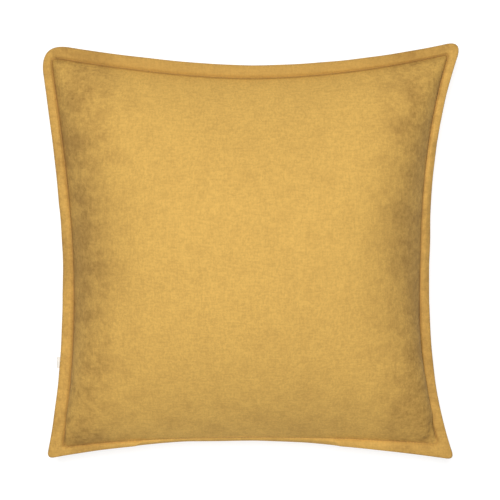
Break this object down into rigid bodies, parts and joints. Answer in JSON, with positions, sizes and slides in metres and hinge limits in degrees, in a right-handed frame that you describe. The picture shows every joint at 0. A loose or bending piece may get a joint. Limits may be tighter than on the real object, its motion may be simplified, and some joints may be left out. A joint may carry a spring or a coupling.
{
  "type": "throw pillow",
  "caption": "Square velvet throw pillow with a flat topstitched border, zipped cover and plump removable insert.",
  "frame": {"origin": "centre of the flattened patch of the back face that the pillow rests on", "axes": "+Z out of the front face, +Y towards the top edge, +X to the right seen from the front"},
  "size_m": [0.44, 0.44, 0.14],
  "materials": {
    "velvet": "matte",
    "thread": "satin",
    "zip_tape": "matte",
    "zip_coil": "satin",
    "zip_metal": "satin",
    "label_satin": "satin",
    "insert_cotton": "matte",
    "insert_thread": "matte",
    "fibre": "matte"
  },
  "bodies": {
    "cushion": {"front_panel": "velvet", "back_panel": "velvet", "back_zip_strip": "velvet", "flange_seam_allowance": "velvet", "edge_seam_thread": "thread", "topstitch_needle_thread": "thread", "topstitch_bobbin_thread": "thread", "zip_tape_upper": "zip_tape", "zip_tape_lower": "zip_tape", "zip_coil_upper": "zip_coil", "zip_coil_lower": "zip_coil", "zip_stitching_upper": "thread", "zip_stitching_lower": "thread", "zip_top_stops": "zip_metal", "zip_bottom_stop": "zip_metal", "care_label": "label_satin", "insert_casing_front": "insert_cotton", "insert_casing_back": "insert_cotton", "insert_seam_thread": "insert_thread", "fibre_fill": "fibre"},
    "slider": {"zip_slider": "zip_metal"},
    "pull_tab": {"zip_pull_tab": "zip_metal"}
  },
  "joints": [
    {"name": "zip_travel", "type": "hinge", "parent": "cushion", "child": "slider", "pos_m": [0, -1.37728, 0.062], "axis": [0, 0, 1], "range_deg": [0, 14.88]},
    {"name": "pull_tab_swing", "type": "hinge", "parent": "slider", "child": "pull_tab", "pos_m": [0.15556, -0.18561, 0.0561], "axis": [0.1294, 0.9916, 0], "range_deg": [-90, 90]}
  ]
}
